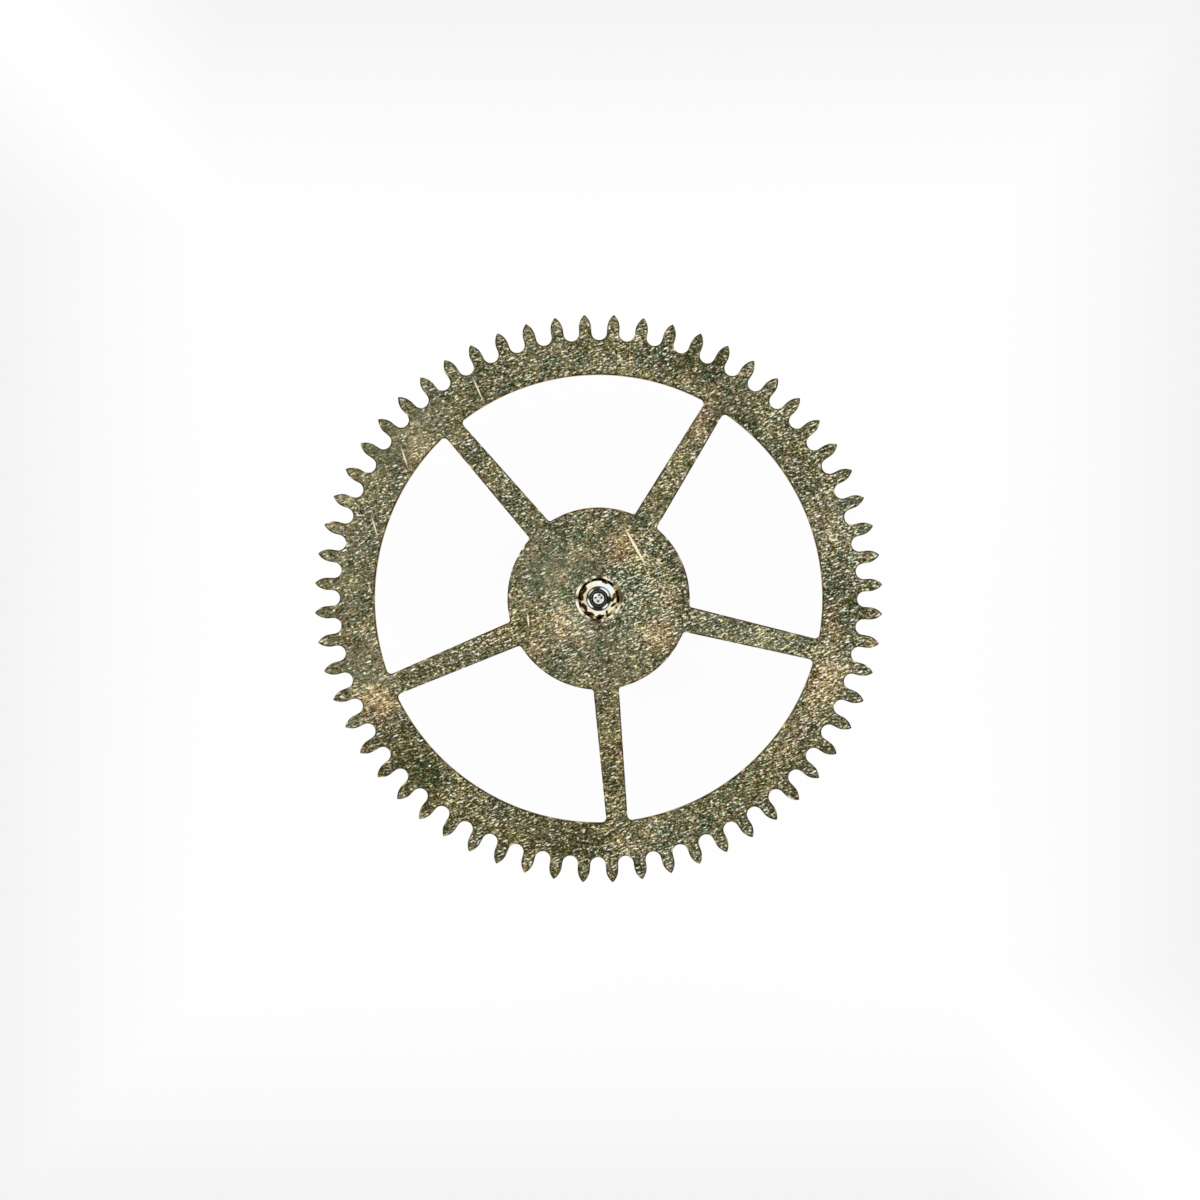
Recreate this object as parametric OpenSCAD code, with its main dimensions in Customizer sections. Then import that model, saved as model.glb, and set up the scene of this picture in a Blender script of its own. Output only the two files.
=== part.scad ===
// A watch wheel riveted on its pinion. The wheel is a brass plate with a ring of pointed teeth
// and five arms. The pinion, its arbor and both pivots are one turned and cut piece of steel.
// Millimetres. +Z runs along the arbor, out of the riveted face. The origin is on the lower
// pivot's shoulder, which is the face that rests on the lower bearing.

/* [Wheel teeth] */
// Number of teeth on the wheel
wheel_teeth = 60; // [40:1:80]
// Module of the wheel, its pitch diameter over its teeth
wheel_module = 0.125; // [0.115:0.005:0.14]
// Thickness of a tooth on the pitch circle
tooth_t = 0.171; // [0.15:0.001:0.19]
// Height above the pitch circle at which a tooth's two curves meet
addendum = 0.183; // [0.165:0.001:0.2]
// Height that the turned edge of the blank takes off each point
topping = 0.005; // [0.002:0.001:0.01]
// Depth of the gaps below the pitch circle
dedendum = 0.172; // [0.15:0.002:0.2]
// Turn of the first tooth from +X, in degrees
tooth_phase = 2.87; // [0:0.01:6]

/* [Wheel plate] */
// Thickness of the plate
plate_t = 0.24; // [0.18:0.01:0.34]
// Width of the rim, from the bottoms of the gaps to the windows
rim_w = 0.479; // [0.35:0.001:0.6]
// Diameter of the hub
hub_d = 2.523; // [2.2:0.001:2.9]

/* [Arms] */
// Number of arms
arms = 5; // [3:1:6]
// Width of an arm where it leaves the hub
arm_w_hub = 0.355; // [0.3:0.001:0.42]
// Width of an arm where it meets the rim
arm_w_rim = 0.295; // [0.24:0.001:0.34]
// Turn of the first arm from +X, in degrees
arm_phase = 58.77; // [0:0.01:120]
// Radius of the corners between an arm and the hub
hub_corner_r = 0.042; // [0.02:0.001:0.08]
// Radius of the corners between an arm and the rim
rim_corner_r = 0.062; // [0.03:0.001:0.1]

/* [Riveted seat] */
// Diameter of the plate's hole and of the rivet's neck in it
seat_d = 0.46; // [0.4:0.01:0.47]
// Diameter of the sink around the rivet, at the plate's face
sink_d = 0.645; // [0.61:0.001:0.72]
// Diameter of the sink's flat floor
sink_floor_d = 0.568; // [0.53:0.001:0.6]
// Depth of the sink
sink_depth = 0.035; // [0.02:0.001:0.06]
// Diameter to which the rivet's head is spread
rivet_d = 0.498; // [0.475:0.001:0.515]
// Height of the rivet's crest above the plate
rivet_proud = 0.03; // [0.015:0.001:0.045]
// Radius of the rivet's rounded crest
rivet_crest_r = 0.085; // [0.08:0.001:0.12]
// Diameter of the hollow that the punch leaves inside the rivet
hollow_d = 0.318; // [0.3:0.001:0.34]
// Depth of that hollow below the plate's face
hollow_depth = 0.03; // [0.01:0.001:0.05]

/* [Pinion] */
// Number of leaves on the pinion
leaves = 8; // [6:1:12]
// Module of the pinion, its pitch diameter over its leaves
pinion_module = 0.15; // [0.14:0.005:0.17]
// Thickness of a leaf on the pitch circle
leaf_t = 0.158; // [0.14:0.002:0.17]
// Depth of the pinion's gaps below its pitch circle
leaf_dedendum = 0.24; // [0.2:0.005:0.26]
// Length of the leaves
leaf_l = 1.35; // [1:0.05:1.8]
// Bevel on the leaves' lower ends
leaf_bevel = 0.06; // [0.02:0.01:0.1]
// Turn of the first leaf from +X, in degrees
leaf_phase = 11; // [0:1:45]

/* [Arbor] */
// Diameter of the arbor under the pinion
lower_arbor_d = 0.46; // [0.36:0.01:0.6]
// Length of the arbor under the pinion
lower_arbor_l = 0.3; // [0.2:0.01:0.6]
// Diameter of the upper arbor's foot, inside the rivet
upper_arbor_d = 0.266; // [0.24:0.001:0.29]
// Height of the upper shoulder above the plate
upper_arbor_l = 0.42; // [0.2:0.01:0.8]
// Diameter of the upper shoulder
upper_shoulder_d = 0.216; // [0.205:0.001:0.235]

/* [Pivots] */
// Diameter of both pivots
pivot_d = 0.152; // [0.12:0.002:0.16]
// Length of each pivot
pivot_l = 0.3; // [0.2:0.01:0.45]
// Radius of the dome on a pivot's end
dome_r = 0.16; // [0.12:0.01:0.4]
// Radius of the corner between a pivot and its shoulder
pivot_corner_r = 0.015; // [0.008:0.001:0.02]

/* [Hidden] */
$fn = 64;

// Overrun of a round cut past the wall that it blends into, so that arc and wall cross cleanly
lap = 0.0005;

// Radii of the wheel
pitch_r = wheel_teeth * wheel_module / 2;
tip_r = pitch_r + addendum - topping;
gap_r = pitch_r - dedendum;
window_r = gap_r - rim_w;
hub_r = hub_d / 2;

// Each side of a tooth's point is an arc that leaves the flank on the pitch circle
curve_half = tooth_t / 2 + lap;
curve_r = (addendum * addendum + curve_half * curve_half) / (2 * curve_half);

// The round at the bottom of a wheel gap touches the flanks on both sides
half_pitch = 180 / wheel_teeth;
gap_round = (gap_r * sin(half_pitch) - tooth_t / 2) / (1 - sin(half_pitch));

// Radii of the pinion, whose flanks are radial
leaf_pitch_r = leaves * pinion_module / 2;
leaf_tip_r = leaf_pitch_r + leaf_t / 2;
leaf_gap_r = leaf_pitch_r - leaf_dedendum;
half_leaf_gap = 180 / leaves - asin(leaf_t / 2 / leaf_pitch_r);
leaf_gap_round = leaf_gap_r * sin(half_leaf_gap) / (1 - sin(half_leaf_gap));

// Heights
pinion_z = lower_arbor_l;
seat_z = pinion_z + leaf_l;
face_z = seat_z + plate_t;
floor_z = face_z - sink_depth;
hollow_z = face_z - hollow_depth;
upper_shoulder_z = face_z + upper_arbor_l;

// Half the width of an arm at a distance from the wheel's centre
function arm_half(x) =
    (arm_w_hub + (arm_w_rim - arm_w_hub) * (x - hub_r) / (window_r - hub_r)) / 2;

// The point at distance rho from the wheel's centre on the line from p along unit vector e
function on_circle(p, e, rho) = p + e * (sqrt(pow(p * e, 2) - p * p + rho * rho) - p * e);

module around(count, phase = 0) {
    for (i = [0 : count - 1]) rotate(phase + i * 360 / count) children();
}

// Fills the corner between two walls with a hollow round. The unit vectors wall_a and wall_b
// point from the round's centre to the walls, wall_b counter-clockwise of wall_a.
module corner_2d(centre, r, wall_a, wall_b) {
    reach = 1.4 * r;
    difference() {
        polygon([
            centre,
            centre + reach * wall_a,
            centre + reach * (wall_a + wall_b),
            centre + reach * wall_b
        ]);
        translate(centre) circle(r, $fn = 32);
    }
}

// One tooth on the +X axis: parallel flanks below the pitch circle and two arcs above it
module tooth_2d() {
    flank_l = dedendum + rim_w / 2;
    translate([pitch_r - flank_l, -tooth_t / 2]) square([flank_l, tooth_t]);
    intersection_for (side = [-1, 1])
        translate([pitch_r, side * (curve_r - curve_half)]) circle(curve_r);
}

module toothed_ring_2d() {
    round_x = gap_r + gap_round;
    difference() {
        intersection() {
            circle(tip_r, $fn = 240);
            union() {
                circle(round_x * cos(half_pitch), $fn = 240);
                around(wheel_teeth, tooth_phase) tooth_2d();
            }
        }
        around(wheel_teeth, tooth_phase + half_pitch)
            translate([round_x + lap, 0]) circle(gap_round + lap, $fn = 32);
        circle(window_r, $fn = 240);
    }
}

// One tapered arm along +X, with rounds in its four corners
module arm_2d() {
    start_x = hub_r - arm_w_hub / 2;
    end_x = window_r + rim_w / 2;
    polygon([
        [start_x, -arm_half(start_x)],
        [end_x, -arm_half(end_x)],
        [end_x, arm_half(end_x)],
        [start_x, arm_half(start_x)]
    ]);

    root = [hub_r, arm_half(hub_r)];
    edge = [window_r, arm_half(window_r)] - root;
    along = edge / norm(edge);
    away = [-along[1], along[0]];
    hub_off = hub_corner_r - lap;
    rim_off = rim_corner_r - lap;
    hub_centre = on_circle(root + away * hub_off, along, hub_r + hub_off);
    rim_centre = on_circle(root + away * rim_off, along, window_r - rim_off);
    for (flip = [0, 1]) mirror([0, flip]) {
        corner_2d(hub_centre, hub_corner_r, -hub_centre / norm(hub_centre), -away);
        corner_2d(rim_centre, rim_corner_r, -away, rim_centre / norm(rim_centre));
    }
}

module wheel_2d() {
    difference() {
        union() {
            toothed_ring_2d();
            circle(hub_r, $fn = 120);
            around(arms, arm_phase) arm_2d();
        }
        circle(seat_d / 2);
    }
}

// The bevelled sink that the rivet's head lies in
module sink() {
    rotate_extrude() polygon([
        [0, floor_z],
        [sink_floor_d / 2, floor_z],
        [sink_d / 2, face_z],
        [sink_d / 2, face_z + sink_depth],
        [0, face_z + sink_depth]
    ]);
}

module wheel() {
    color("#77704f") difference() {
        translate([0, 0, seat_z]) linear_extrude(plate_t) wheel_2d();
        sink();
    }
}

// One leaf on the +X axis: radial flanks and a round top
module leaf_2d() {
    polygon([
        [0, 0],
        [leaf_pitch_r, lap - leaf_t / 2],
        [leaf_pitch_r, leaf_t / 2 - lap]
    ]);
    translate([leaf_pitch_r, 0]) circle(leaf_t / 2, $fn = 32);
}

module pinion_2d() {
    round_x = leaf_gap_r + leaf_gap_round;
    difference() {
        union() {
            circle(round_x * cos(half_leaf_gap));
            around(leaves) leaf_2d();
        }
        around(leaves, 180 / leaves)
            translate([round_x + lap, 0]) circle(leaf_gap_round + lap, $fn = 48);
    }
}

// The leaves, with their lower ends turned to a bevel
module pinion() {
    rotate(leaf_phase) intersection() {
        translate([0, 0, pinion_z]) linear_extrude(leaf_l) pinion_2d();
        rotate_extrude() polygon([
            [0, pinion_z - leaf_bevel],
            [leaf_tip_r - 2 * leaf_bevel, pinion_z - leaf_bevel],
            [leaf_tip_r + leaf_bevel, pinion_z + 2 * leaf_bevel],
            [leaf_tip_r + leaf_bevel, seat_z + leaf_bevel],
            [0, seat_z + leaf_bevel]
        ]);
    }
}

// Half the outline of a pivot that stands on its shoulder at y = 0
module pivot_2d() {
    pivot_r = pivot_d / 2;
    corner_off = pivot_corner_r - lap;
    square([pivot_r, pivot_l - pivot_r]);
    intersection() {
        translate([0, pivot_l - pivot_d]) square([pivot_r, pivot_d]);
        translate([0, pivot_l - dome_r]) circle(dome_r);
    }
    corner_2d([pivot_r + corner_off, corner_off], pivot_corner_r, [-1, 0], [0, -1]);
}

// Half the outline of the rivet's head, spread over the sink's floor and hollowed by the punch
module rivet_head_2d() {
    crest_x = (rivet_d + hollow_d) / 4;
    difference() {
        intersection() {
            translate([0, floor_z]) square([rivet_d / 2, sink_depth + 2 * rivet_proud]);
            translate([crest_x, face_z + rivet_proud - rivet_crest_r]) circle(rivet_crest_r);
        }
        polygon([
            [0, hollow_z],
            [upper_arbor_d / 2, hollow_z],
            [hollow_d / 2, face_z],
            [hollow_d / 2, face_z + 2 * rivet_proud],
            [0, face_z + 2 * rivet_proud]
        ]);
    }
}

// Half the outline of everything on the arbor that is turned
module turned_2d() {
    mirror([0, 1]) pivot_2d();
    square([lower_arbor_d / 2, seat_z]);
    translate([0, pinion_z]) square([seat_d / 2, floor_z - pinion_z]);
    rivet_head_2d();
    polygon([
        [0, seat_z],
        [upper_arbor_d / 2, seat_z],
        [upper_arbor_d / 2, hollow_z],
        [upper_shoulder_d / 2, upper_shoulder_z],
        [0, upper_shoulder_z]
    ]);
    translate([0, upper_shoulder_z]) pivot_2d();
}

module pinion_arbor() {
    color("#b4b8bd") {
        pinion();
        rotate_extrude() turned_2d();
    }
}

wheel();
pinion_arbor();
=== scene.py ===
# %% [markdown]
# # A watch wheel on its pinion
#
# The real object is a toothed brass plate under 8 mm across, riveted on a steel arbor whose ends
# are pivots as thin as a pin's point. Its looks live in three things: crisp machined outlines with
# a tiny edge break, a coarse grain on old tarnished brass, and a small polished rivet in the middle.
# This lesson builds the two pieces again as fine meshes over the exact CAD solids, gives each
# surface a finish made from real sizes, and lights them plainly.

# %% Load the frame
import cmath
import math

import bmesh
import bpy
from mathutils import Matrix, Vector
from mathutils.geometry import tessellate_polygon


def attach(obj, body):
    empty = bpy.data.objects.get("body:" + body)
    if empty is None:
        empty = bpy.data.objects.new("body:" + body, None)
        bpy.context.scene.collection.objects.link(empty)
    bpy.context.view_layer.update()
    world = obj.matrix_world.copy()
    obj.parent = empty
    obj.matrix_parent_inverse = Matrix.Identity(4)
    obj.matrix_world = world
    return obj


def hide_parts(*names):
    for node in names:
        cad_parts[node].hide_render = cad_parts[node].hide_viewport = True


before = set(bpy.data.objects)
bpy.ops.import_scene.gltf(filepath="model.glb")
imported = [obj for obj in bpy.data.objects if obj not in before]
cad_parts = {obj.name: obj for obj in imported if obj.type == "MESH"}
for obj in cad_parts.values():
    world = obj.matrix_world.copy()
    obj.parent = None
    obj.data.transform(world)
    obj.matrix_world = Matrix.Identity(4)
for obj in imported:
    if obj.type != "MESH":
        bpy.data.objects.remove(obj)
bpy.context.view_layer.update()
print("CAD nodes:", sorted(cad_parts))

# %% [markdown]
# ## Sizes
#
# A watch wheel is cut by number: a count of teeth and a module give the pitch circle, and every
# other size hangs on it. The values repeat the CAD model's, in millimetres and degrees, so that
# each new piece lies exactly over the solid that it stands for.

# %% Sizes of the wheel
MM = 0.001
TEETH = 60
PITCH_R = 3.75
TOOTH_T = 0.171
ADDENDUM = 0.183
TIP_RISE = 0.178
GAP_DEPTH = 0.172
RIM_W = 0.479
TIP_R = PITCH_R + TIP_RISE
GAP_R = PITCH_R - GAP_DEPTH
TOOTH_PHASE = 2.87
HALF_PITCH = 180 / TEETH

WINDOW_R = GAP_R - RIM_W
HUB_R = 1.2615
ARMS = 5
ARM_PHASE = 58.77
ARM_W_HUB = 0.355
ARM_W_RIM = 0.295
HUB_CORNER_R = 0.0415
RIM_CORNER_R = 0.0615

SEAT_Z = 1.65
FACE_Z = 1.89
SINK_FLOOR_Z = 1.855
SEAT_R = 0.23
SINK_FLOOR_R = 0.284
SINK_R = 0.3225
print(f"Wheel: {2 * TIP_R:.3f} mm over the teeth, {FACE_Z - SEAT_Z:.2f} mm thick")

# %% Sizes of the pinion and its arbor
LEAVES = 8
LEAF_PHASE = 11
LEAF_PITCH_R = 0.6
LEAF_TOP_R = 0.079
LEAF_GAP_R = 0.36
LEAF_BEVEL_R = 0.619
PINION_Z = 0.3
LOWER_ARBOR_R = 0.23

RIVET_R = 0.249
CREST_Z = 1.92
CREST_FOOT_Z = 1.878
# The power of the crest's oval: 2 is a plain ellipse, and 8 is nearly a box with round corners.
PRESSED = 8.0
HOLLOW_R = 0.159
HOLLOW_Z = 1.86
UPPER_ARBOR_R = 0.133
UPPER_SHOULDER_R = 0.108
UPPER_SHOULDER_Z = 2.31

PIVOT_R = 0.076
PIVOT_L = 0.3
DOME_R = 0.16
PIVOT_CORNER_R = 0.0145
print(f"Arbor: {UPPER_SHOULDER_Z + 2 * PIVOT_L:.2f} mm from end to end")

# %% [markdown]
# ## Outlines that can be inset
#
# A toothed plate could be cut from a disc with booleans, or be a bevelled curve. Both leave
# uneven faces at the edges, just where light catches a machined part. Instead each outline is
# worked out from its lines and arcs as a function of an inset, the distance to step into the metal.
# The same outline at several insets has the same count of points, so an edge break is a clean band
# of quads. Points in the plane are complex numbers, because a turn is then one multiplication.

# %% Arcs and turns in the plane
RING_POINTS = 96


def turn(degrees):
    """The complex number that turns a point by this angle."""
    return cmath.rect(1, math.radians(degrees))


def heading(vector):
    """The direction of a vector, in degrees."""
    return math.degrees(cmath.phase(vector))


def arc(centre, radius, start, end, steps):
    """Points on an arc from one direction to another, both ends included."""
    return [centre + radius * turn(start + (end - start) * i / steps) for i in range(steps + 1)]


def ring(radius):
    """Points on a full circle about the axis."""
    return [radius * turn(360 * i / RING_POINTS) for i in range(RING_POINTS)]


print("A quarter of a unit circle:", [f"{p:.2f}" for p in arc(0, 1, 0, 90, 2)])

# %% [markdown]
# ## The toothed rim
#
# A going train's wheel tooth has straight flanks up to the pitch circle and two arcs above it that
# meet in a point. The blank's turned edge cuts that point off by a few thousandths of a millimetre,
# and a round at the bottom of each gap touches both flanks. A list of points would hide these
# rules, so half a tooth is worked out once, then mirrored and turned sixty times.

# %% The outline of the teeth
SIDE_HALF = TOOTH_T / 2
SIDE_R = (ADDENDUM**2 + SIDE_HALF**2) / (2 * SIDE_HALF)
GAP_SIN = math.sin(math.radians(HALF_PITCH))
GAP_ROUND_R = (GAP_R * GAP_SIN - SIDE_HALF) / (1 - GAP_SIN)
TIP_SLIVER = 0.0004
TOOTH_ARC_STEPS = 8


def half_tooth(inset):
    """One side of the tooth on the +X axis, from the middle of its tip to the gap's bottom."""
    side_centre = complex(PITCH_R, SIDE_HALF - SIDE_R)
    side_r = SIDE_R - inset
    to_point = math.sqrt(side_r**2 - (TIP_SLIVER - side_centre.imag) ** 2)
    reach = min(TIP_R - inset - PITCH_R, to_point)
    tip_at = math.degrees(math.acos(reach / side_r))
    gap_centre = (GAP_R + GAP_ROUND_R) * turn(HALF_PITCH)
    side = arc(side_centre, side_r, tip_at, 90, TOOTH_ARC_STEPS)
    gap = arc(gap_centre, GAP_ROUND_R + inset, 270, 180 + HALF_PITCH, TOOTH_ARC_STEPS)
    return [complex(PITCH_R + reach, 0)] + side + gap


def teeth_outline(inset):
    """All teeth and gaps, from half a tooth mirrored and turned."""
    side = half_tooth(inset)
    tooth = [p.conjugate() for p in reversed(side[1:])] + side[:-1]
    turns = [turn(TOOTH_PHASE + 2 * HALF_PITCH * k) for k in range(TEETH)]
    return [p * t for t in turns for p in tooth]


print("Points round the teeth:", len(teeth_outline(0)))
print(f"Radius of a tooth's side: {SIDE_R:.4f} mm, of a gap's round: {GAP_ROUND_R:.4f} mm")

# %% [markdown]
# ## The windows
#
# The crossings of a wheel, its arms, are what the file leaves between five windows. An arm tapers
# towards the rim, and its corners are rounded as far as a thin file reaches. Arms could be boxes
# joined to a hub and a ring, but the joins would show. Instead one window's outline runs along an
# arm, round the rim, back along the next arm and round the hub, and the plate stays one piece.

# %% The outline of a window
CORNER_STEPS = 7
ARM_STEPS = 8
RIM_STEPS = 48
HUB_STEPS = 30


def arm_half(x):
    """Half an arm's width at this distance from the wheel's centre."""
    share = (x - HUB_R) / (WINDOW_R - HUB_R)
    return (ARM_W_HUB + (ARM_W_RIM - ARM_W_HUB) * share) / 2


def reach_circle(point, along, radius):
    """Where the line from this point, in this unit direction, meets a circle about the centre."""
    dot = (point * along.conjugate()).real
    return point + along * (math.sqrt(dot**2 - abs(point) ** 2 + radius**2) - dot)


def window_outline(inset, index):
    """One window, from its side along an arm to its side along the next."""
    root = complex(HUB_R, arm_half(HUB_R))
    edge = complex(WINDOW_R, arm_half(WINDOW_R)) - root
    along = edge / abs(edge)
    away = along * 1j
    hub_corner = reach_circle(root + away * HUB_CORNER_R, along, HUB_R + HUB_CORNER_R)
    rim_corner = reach_circle(root + away * RIM_CORNER_R, along, WINDOW_R - RIM_CORNER_R)
    start_at, end_at = heading(-hub_corner), heading(rim_corner)
    side = arc(hub_corner, HUB_CORNER_R + inset, start_at, heading(-away), CORNER_STEPS)
    end = arc(rim_corner, RIM_CORNER_R + inset, heading(-away), end_at, CORNER_STEPS)
    straight = end[0] - side[-1]
    side += [side[-1] + straight * i / ARM_STEPS for i in range(1, ARM_STEPS)] + end

    step = 360 / ARMS
    other = [p.conjugate() * turn(step) for p in reversed(side)]
    rim = arc(0, WINDOW_R + inset, heading(side[-1]), heading(other[0]), RIM_STEPS)
    hub = arc(0, HUB_R - inset, heading(other[-1]), heading(side[0]), HUB_STEPS)
    whole = side + rim[1:-1] + other + hub[1:-1]
    return [p * turn(ARM_PHASE + step * index) for p in whole]


print("Points round a window:", len(window_outline(0, 0)))

# %% [markdown]
# ## A mesh from stacked outlines
#
# Turned and stamped parts are stacks of outlines at different heights. Modifiers could thicken
# and bevel a flat plate, but a bevel gets crowded between small teeth and can't tell a worn point
# from a clean one. The little class below keeps points, joins two outlines with a band of quads,
# and closes a flat face between outlines with triangles. It also notes how worn each point is,
# which the brass reads later for its edges.

# %% The stack
LOOP_SCALE = 100


class Stack:
    """Points, faces, each face's finish and each point's wear, for one closed mesh."""

    def __init__(self):
        self.points = []
        self.faces = []
        self.finish = []
        self.wear = []

    def outline(self, flat_points, z, wear=0.0):
        """Adds an outline at a height and gives the numbers of its points."""
        start = len(self.points)
        self.points += [(p.real * MM, p.imag * MM, z * MM) for p in flat_points]
        self.wear += [wear] * len(flat_points)
        return range(start, len(self.points))

    def band(self, lower, upper, finish):
        """Joins two outlines with a ring of quads."""
        count = len(lower)
        for i in range(count):
            j = (i + 1) % count
            self.faces.append((lower[i], lower[j], upper[j], upper[i]))
            self.finish.append(finish)

    def bands(self, outlines, finish):
        """Joins each outline in a list with the next one."""
        for lower, upper in zip(outlines, outlines[1:]):
            self.band(lower, upper, finish)

    def flat(self, outlines, finish):
        """A flat face between an outer outline and the holes in it."""
        # The triangulation drops very small steps, so the loops are scaled up for it.
        loops = [[Vector(self.points[i]) / MM * LOOP_SCALE for i in loop] for loop in outlines]
        numbers = [i for loop in outlines for i in loop]
        for triangle in tessellate_polygon(loops):
            self.faces.append(tuple(numbers[i] for i in triangle))
            self.finish.append(finish)

    def tip(self, outline, z, finish):
        """Closes an outline to a point on the axis."""
        self.points.append((0, 0, z * MM))
        self.wear.append(0.0)
        count = len(outline)
        for i in range(count):
            self.faces.append((outline[i], outline[(i + 1) % count], len(self.points) - 1))
            self.finish.append(finish)


print("A new stack has", len(Stack().points), "points and", len(Stack().faces), "faces.")

# %% [markdown]
# ## From a stack to a piece
#
# The stack becomes one closed mesh. Normals are made to point outwards, soft shading runs over
# the small edge breaks, and real corners stay sharp. The piece then takes the place of its CAD
# node and rides on the one body.

# %% Make a piece
SHARP_CORNER = 42
SAME_POINT = 0.00001


def make_piece(stack, name, node):
    """A closed mesh object from a stack, in the place of its CAD node."""
    mesh = bpy.data.meshes.new(name)
    mesh.from_pydata(stack.points, [], stack.faces)
    mesh.polygons.foreach_set("material_index", stack.finish)
    wear = mesh.attributes.new("edge_wear", "FLOAT", "POINT")
    wear.data.foreach_set("value", stack.wear)

    shell = bmesh.new()
    shell.from_mesh(mesh)
    bmesh.ops.remove_doubles(shell, verts=shell.verts, dist=SAME_POINT * MM)
    bmesh.ops.recalc_face_normals(shell, faces=shell.faces)
    open_edges = sum(1 for edge in shell.edges if len(edge.link_faces) != 2)
    volume = shell.calc_volume() / MM**3
    shell.to_mesh(mesh)
    shell.free()

    mesh.shade_smooth()
    mesh.set_sharp_from_angle(angle=math.radians(SHARP_CORNER))
    piece = bpy.data.objects.new(name, mesh)
    bpy.context.scene.collection.objects.link(piece)
    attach(piece, "root")
    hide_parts(node)
    print(f"{name}: {len(mesh.polygons)} faces, {open_edges} open edges, {volume:.3f} mm3")
    return piece


print(f"Edges that turn more than {SHARP_CORNER} degrees stay sharp.")

# %% [markdown]
# ## The brass wheel
#
# The plate has a soft edge break all round, as tumbling and years of brushing leave it. It is a
# quarter round of a hundredth of a millimetre in three steps. One more outline lies a little
# inside it on each face, so that wear can fade from the edge inwards. In the middle, the hole
# that holds the rivet's neck opens into a shallow sink. Round it lies a narrow land of clean
# metal, a hair below the grained face.

# %% Walls with rounded edges
GRAINED, SINK, GROOVE, WALL = 0, 1, 2, 3
EDGE_R = 0.01
WEAR_W = 0.03


def edge_break(towards):
    """Steps of (inset, height from the face, wear) over one rounded edge, ending on the face."""
    steps = []
    for angle in (0, 30, 60, 90):
        up = math.sin(math.radians(angle))
        inset = EDGE_R * (1 - math.cos(math.radians(angle)))
        steps.append((inset, towards * EDGE_R * (up - 1), 1.0))
    return steps + [(WEAR_W, 0.0, 0.0)]


def wall(stack, outline_at):
    """The wall of one outline, with an edge break at both faces. Gives its last two outlines."""
    below = [stack.outline(outline_at(i), SEAT_Z + h, w) for i, h, w in edge_break(-1)]
    above = [stack.outline(outline_at(i), FACE_Z + h, w) for i, h, w in edge_break(1)]
    stack.bands(below[::-1], GRAINED)
    stack.band(below[0], above[0], WALL)
    stack.bands(above, GRAINED)
    return below[-1], above[-1]


print("Steps of an edge break:", [f"{inset:.4f} in" for inset, _, _ in edge_break(1)])

# %% Build the wheel
SINK_WALL_W = 0.002
LAND_DROP = 0.002
LAND_RISE = 0.001
LAND_EDGE = 0.0005
LAND_WEAR = 0.75
LAND_WEAR_W = 0.018

wheel_stack = Stack()
outlines = [teeth_outline]
outlines += [lambda inset, k=k: window_outline(inset, k) for k in range(ARMS)]
walls = [wall(wheel_stack, outline_at) for outline_at in outlines]

hole_profile = [
    # radius, height, wear
    (SEAT_R, SEAT_Z, 0.0),
    (SEAT_R, SINK_FLOOR_Z, 0.0),
    (SINK_FLOOR_R, SINK_FLOOR_Z, 0.0),
    (SINK_FLOOR_R + SINK_WALL_W, FACE_Z - LAND_DROP - LAND_RISE, 0.0),
    (SINK_R - LAND_EDGE, FACE_Z - LAND_DROP, 0.0),
    (SINK_R + LAND_EDGE, FACE_Z, LAND_WEAR),
    (SINK_R + LAND_WEAR_W, FACE_Z, 0.0),
]
hole = [wheel_stack.outline(ring(r), z, worn) for r, z, worn in hole_profile]
wheel_stack.band(hole[0], hole[1], WALL)
wheel_stack.band(hole[1], hole[2], GROOVE)
wheel_stack.bands(hole[2:-1], SINK)
wheel_stack.band(hole[-2], hole[-1], GRAINED)
wheel_stack.flat([below for below, above in walls] + [hole[0]], GRAINED)
wheel_stack.flat([above for below, above in walls] + [hole[-1]], GRAINED)
wheel = make_piece(wheel_stack, "brass_wheel", "wheel")

# %% [markdown]
# ## The outline of the pinion
#
# The wheel's small partner is cut from the arbor's own bar: eight leaves with radial flanks,
# half-round tops and round bottoms between them. Nobody sees it in use, but it shows from the
# side and from below. So it gets the same care, and its outline is worked out as the teeth's is.

# %% Half a leaf, mirrored and turned
LEAF_ARC_STEPS = 8
LEAF_TOP_END = 88
FLANK_AT = math.degrees(math.asin(LEAF_TOP_R / LEAF_PITCH_R))
HALF_GAP = 180 / LEAVES - FLANK_AT
GAP_SHARE = math.sin(math.radians(HALF_GAP))
LEAF_GAP_ROUND_R = LEAF_GAP_R * GAP_SHARE / (1 - GAP_SHARE)


def pinion_outline():
    """All leaves and gaps. A leaf's round top stops a little before its flank starts."""
    gap_centre = (LEAF_GAP_R + LEAF_GAP_ROUND_R) * turn(180 / LEAVES)
    top = arc(LEAF_PITCH_R, LEAF_TOP_R, 0, LEAF_TOP_END, LEAF_ARC_STEPS)
    touch = 270 + FLANK_AT
    gap = arc(gap_centre, LEAF_GAP_ROUND_R, touch, 180 + 180 / LEAVES, LEAF_ARC_STEPS)
    side = top + gap
    leaf = [p.conjugate() for p in reversed(side[1:])] + side[:-1]
    turns = [turn(LEAF_PHASE + 360 / LEAVES * k) for k in range(LEAVES)]
    return [p * t for t in turns for p in leaf]


print("Points round the pinion:", len(pinion_outline()))

# %% [markdown]
# ## The steel arbor
#
# Pivots, shoulders, leaves, rivet and upper arbor are one piece of steel, so they are one mesh.
# A screw modifier could spin the round parts, but the leaves between them aren't round. So the
# turned parts are rings from a profile of radius and height, stacked like every other outline.
# Corners get an edge break of a few thousandths of a millimetre, because even a graver's sharp
# corner catches a thread of light.

# %% Profile of a pivot
EASE = 0.004
TIP_EASE = 0.0015
DOME_STEPS = 6
ROOT_STEPS = 4


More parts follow.
